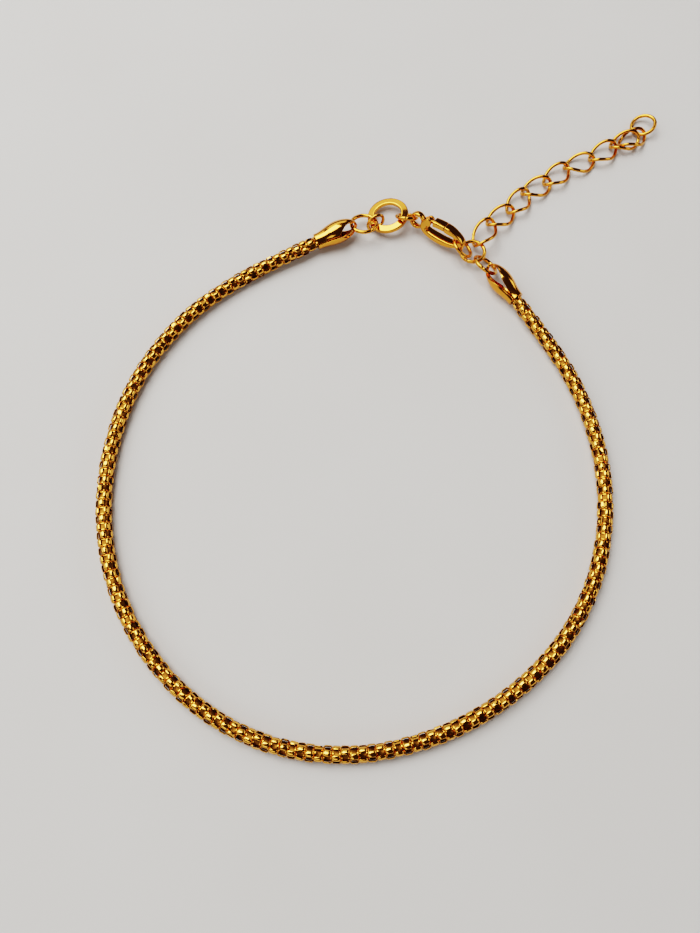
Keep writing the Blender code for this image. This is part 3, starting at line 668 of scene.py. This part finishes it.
def build_chain(mouths, material, wire_material, painted_shade_material):
    """The woven chain: strip links in eight columns, every second column half a pitch on, and hoops.

    Each link's strip runs along LINK_PROFILE, and its section is set across it by width and thickness.
    A link's place is its distance along the middle line and its angle about it.  Drawn at random are
    how far it tips, leans and slides and how deep its crown is sunk.
    """
    line, along = chain_middle_line(mouths)
    length = along[-1]
    rows = round(length / CHAIN_PITCH)
    pitch = length / rows
    row, column = np.meshgrid(np.arange(rows), np.arange(CHAIN_COLUMNS), indexing="ij")
    at = ((row + 0.25 + 0.5 * (column % 2)) * pitch).ravel()
    angle = column.ravel() * 2 * math.pi / CHAIN_COLUMNS + chain_turn(at)
    centre, tangent, level, upward = chain_frames(line, along, at)
    sine, cosine = np.sin(angle)[:, None], np.cos(angle)[:, None]
    outward = cosine * level + sine * upward
    sideways = cosine * upward - sine * level
    loose = np.random.default_rng(11)
    tip, lean, slide = (loose.normal(0, size, (len(at), 1)) for size in LINK_PLAY)
    mean, spread, most = LINK_GROOVE
    groove = np.clip(loose.normal(mean, spread, (len(at), 1, 1, 1)), 0, most)
    forward = unit(tangent + tip * outward + lean * sideways)
    outward = unit(outward - tip * tangent)
    sideways = np.cross(outward, forward)
    squeeze = chain_squeeze(at, length)[:, None]
    path, normal, section = link_loop()
    grow = pitch / CHAIN_PITCH
    middle = centre + outward * (LINK_MIDDLE_RADIUS * squeeze) + forward * slide
    strip = (middle[:, None, :] + forward[:, None, :] * path[None, :, 0:1] * grow
             + outward[:, None, :] * (path[None, :, 1:2] * squeeze[:, None, :]))
    thick = forward[:, None, :] * normal[None, :, 0:1] + outward[:, None, :] * normal[None, :, 1:2]
    wide = section[None, None, :, 0:1] * path[None, :, 2, None, None] / 2 * sideways[:, None, None, :]
    lengthwise = (section[:, 0:1] == 0) & (section[:, 1:2] > 0)
    crown = section[None, None, :, 1:2] - groove * lengthwise
    deep = crown * path[None, :, 3, None, None] / 2 * thick[:, :, None, :]
    points = strip[:, :, None, :] + wide * squeeze[:, None, None, :] + deep
    loop = np.array(grid_faces(len(path), len(section), True, True))
    per_link = len(path) * len(section)
    faces = (loop[None] + (np.arange(len(at)) * per_link)[:, None, None]).reshape(-1, 4).tolist()
    links = piece("woven_chain_links", points.reshape(-1, 3), faces, material, 62)
    hoops = build_hoops(line, along, pitch, rows, wire_material)
    # The core's dark brown colour is painted shade between the links
    core = build_core(line, along, pitch, painted_shade_material)
    for made in (links, hoops, core):
        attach(made, "root")
        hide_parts("main_chain")


def build_hoops(line, along, pitch, rows, material, stations=24, sides=5):
    """Round hoops inside the chain, two through each row of links at HOOP_OFFSET from its middle."""
    length = along[-1]
    middles = (np.arange(2 * rows) / 2 + 0.25) * pitch
    at = (middles[:, None] + np.array([-HOOP_OFFSET, HOOP_OFFSET])).ravel()
    centre, tangent, level, upward = chain_frames(line, along, at)
    radius = HOOP_RADIUS * chain_squeeze(at, length)[:, None, None]
    turn = np.arange(stations) * 2 * math.pi / stations
    cosine, sine = np.cos(turn)[None, :, None], np.sin(turn)[None, :, None]
    outward = cosine * level[:, None, :] + sine * upward[:, None, :]
    path = centre[:, None, :] + outward * radius
    forward = np.broadcast_to(tangent[:, None, :], path.shape)
    points = carried(path, outward, forward, box_section(sides, HOOP_WIRE / 2, HOOP_WIRE / 2, 1.0))
    loop = np.array(grid_faces(stations, sides, True, True))
    faces = (loop[None] + (np.arange(len(at)) * stations * sides)[:, None, None]).reshape(-1, 4).tolist()
    return piece("chain_hoops", points, faces, material, 60)


def build_core(line, along, pitch, material, sides=16):
    """The inner ends of the links, which close the chain's middle: a ribbed tube on the middle line.

    Its radius is CORE_RADIUS plus CORE_RIB times a cosine that is one under each link's middle.
    """
    length = along[-1]
    at = np.linspace(0.4, length - 0.4, round(length / 0.3))
    centre, tangent, level, upward = chain_frames(line, along, at)
    turn = np.arange(sides) * 2 * math.pi / sides
    wave = np.cos((at[:, None] / pitch - 0.25) * 2 * math.pi + 4 * turn[None, :])
    radius = CORE_RADIUS + CORE_RIB * wave[..., None]
    around = turn[None, :, None] + chain_turn(at)[:, None, None]
    outward = np.cos(around) * level[:, None, :] + np.sin(around) * upward[:, None, :]
    points = (centre[:, None, :] + outward * radius).reshape(-1, 3)
    faces = grid_faces(len(at), sides, False, True)
    faces.append(list(range(sides)))
    faces.append(list(range((len(at) - 1) * sides, len(at) * sides))[::-1])
    return piece("chain_core", points, faces, material, 60)


def build_floor():
    """A plain pale sheet that the anklet lies on: matt card, faintly cloudy, for a calm ground."""
    material = bpy.data.materials.new("matt pale card")
    material.use_nodes = True
    tree = material.node_tree
    shader = tree.nodes["Principled BSDF"]
    place = add_node(tree, "ShaderNodeTexCoord").outputs["Object"]
    fibre = add_node(tree, "ShaderNodeTexNoise", {"Scale": 1 / (30 * MM), "Detail": 3.0},
                     {"Vector": place})
    tone = add_node(tree, "ShaderNodeMix", {6: srgb("#cccac7"), 7: srgb("#d2d1cf")},
                    {0: fibre.outputs["Fac"]}, data_type="RGBA")
    tree.links.new(tone.outputs[2], shader.inputs["Base Color"])
    shader.inputs["Roughness"].default_value = 0.9
    side = FLOOR_REACH
    corners = [(-side, -side, 0), (side, -side, 0), (side, side, 0), (-side, side, 0)]
    floor = piece("pale_floor", corners, [[0, 1, 2, 3]], material)


def softbox(name, place, size, power, colour):
    """A rectangular area light at a place in millimetres, facing the middle of the floor."""
    lamp = bpy.data.lights.new(name, "AREA")
    lamp.shape = "RECTANGLE"
    lamp.size, lamp.size_y = size[0] * MM, size[1] * MM
    lamp.energy = power
    lamp.color = srgb(colour)[:3]
    made = bpy.data.objects.new(name, lamp)
    made.location = Vector(place) * MM
    made.rotation_euler = (-Vector(place)).to_track_quat("-Z", "Y").to_euler()
    bpy.context.collection.objects.link(made)


def build_light():
    """Soft studio light: the softboxes that the metal mirrors, in a dark warm room."""
    for light in SOFTBOXES:
        softbox(*light)
    world = bpy.data.worlds.new("dark room")
    bpy.context.scene.world = world
    world.use_nodes = True
    world.node_tree.nodes["Background"].inputs["Color"].default_value = srgb("#3a3028")
    world.node_tree.nodes["Background"].inputs["Strength"].default_value = 1.0
    bpy.context.scene.view_settings.view_transform = "Filmic"
    bpy.context.scene.view_settings.look = "High Contrast"


def build_camera(mouths):
    """A camera over the middle of the loop, tilted back by VIEW_TILT from straight down."""
    shift = mouths["end_cap_right"][0][:2] - np.array(ANCHOR)
    away = VIEW_DISTANCE * np.array([0.0, -math.sin(VIEW_TILT), math.cos(VIEW_TILT)])
    place = away + (shift[0], shift[1], VIEW_HEIGHT)
    lens = bpy.data.cameras.new("camera")
    lens.lens = VIEW_FOCAL_PIXELS * lens.sensor_width / FRAME_PIXELS
    lens.clip_start = MM
    camera = bpy.data.objects.new("camera", lens)
    camera.location = Vector(place) * MM
    camera.rotation_euler = (VIEW_TILT, 0, 0)
    bpy.context.collection.objects.link(camera)
    bpy.context.scene.camera = camera


def main():
    """Build the anklet, floor, light and camera."""
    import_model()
    # Cast and tumbled before plating: mirrors that waver a little, their edges rounded off
    plate = gold("gold plate on cast brass, polished", "#eca64a", "#e2963a", 0.09, 0.25, 0.20, 0.15)
    # Drawn through a die, so it is even along its length: one clean bright line on each wire
    wire = gold("gold plate on drawn wire, polished", "#e9a44a", "#de9438", 0.09, 0.20, 0.05, 0.08)
    # Rolled flat and bent, lightly rubbed by wear: each link glints by itself, the palest of the golds
    strip = gold("gold plate on rolled strip, bright", "#f6b458", "#eea546", 0.10, 0.15, 0.05, 0.08)
    # Pressed over a former: broad soft highlights that bend with the strip, a little duller than cast
    sheet = gold("gold plate on pressed sheet, polished", "#eea84c", "#e49639", 0.11, 0.30, 0.20, 0.15)
    # Painted shade: the core between the links is dull dark brown, standing in for the shade deep in the
    # mesh, where the gold would be dark by occlusion
    inside = gold("dark brown core, painted shade between the links", "#8a5a24", "#5e3a14",
                  0.38, 0.20, 0.20, 0.2)
    mouths = build_caps(sheet)
    build_rings(wire)
    build_clasp(plate)
    build_chain(mouths, strip, wire, inside)
    build_floor()
    build_light()
    build_camera(mouths)


main()
